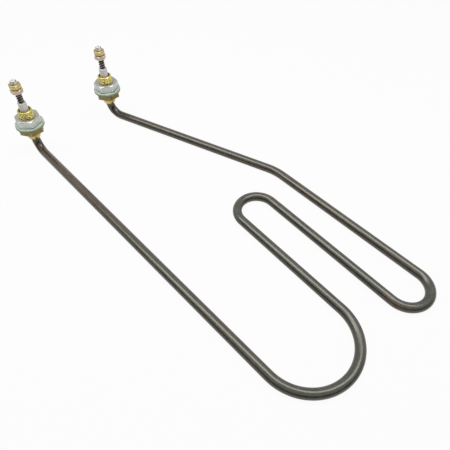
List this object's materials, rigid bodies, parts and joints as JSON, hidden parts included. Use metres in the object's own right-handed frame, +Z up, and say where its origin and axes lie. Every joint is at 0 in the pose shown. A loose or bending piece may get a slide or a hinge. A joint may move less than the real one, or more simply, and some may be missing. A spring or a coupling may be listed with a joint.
{
  "type": "tubular heating element",
  "caption": "Bent tubular electric heater with a flat serpentine of looped legs and two upturned threaded brass terminals with gaskets and nuts.",
  "frame": {"origin": "middle of the footprint, on the surface that the loops lie on", "axes": "+Z up along both terminals, +Y along the legs from the loops at the front to the terminals at the back, +X from the left terminal to the right one"},
  "size_m": [0.1748, 0.3932, 0.0822],
  "materials": {
    "oxidised_steel": "smooth dark oxide of a heated steel tube, with brown and purple tints",
    "magnesia": "pressed mineral powder, matt",
    "resistance_alloy": "drawn resistance wire, satin",
    "turned_brass": "turned brass, satin, slightly tarnished",
    "fibre": "pressed fibre, pale green, matt",
    "zinc_plate": "zinc plated, satin",
    "zinc_plate_warm": "zinc plated with a warm tint, satin",
    "nut_brass": "brass, dull satin",
    "ceramic": "fired steatite, pale grey, matt",
    "dark_steel": "blackened steel thread with a bright turned end",
    "plain_steel": "drawn steel rod, plain",
    "silicone": "cured sealing compound, matt"
  },
  "bodies": {
    "root": {"sheath": "oxidised_steel", "insulation": "magnesia", "resistance_coil": "resistance_alloy", "left_fitting": "turned_brass", "left_gasket": "fibre", "left_lock_nut": "zinc_plate", "left_insulator": "ceramic", "left_terminal_stud": "dark_steel", "left_cold_pin": "plain_steel", "left_lower_nut": "zinc_plate_warm", "left_upper_nut": "nut_brass", "left_end_seal": "silicone", "right_fitting": "turned_brass", "right_gasket": "fibre", "right_lock_nut": "zinc_plate", "right_insulator": "ceramic", "right_terminal_stud": "dark_steel", "right_cold_pin": "plain_steel", "right_lower_nut": "zinc_plate_warm", "right_upper_nut": "nut_brass", "right_end_seal": "silicone"}
  },
  "joints": []
}
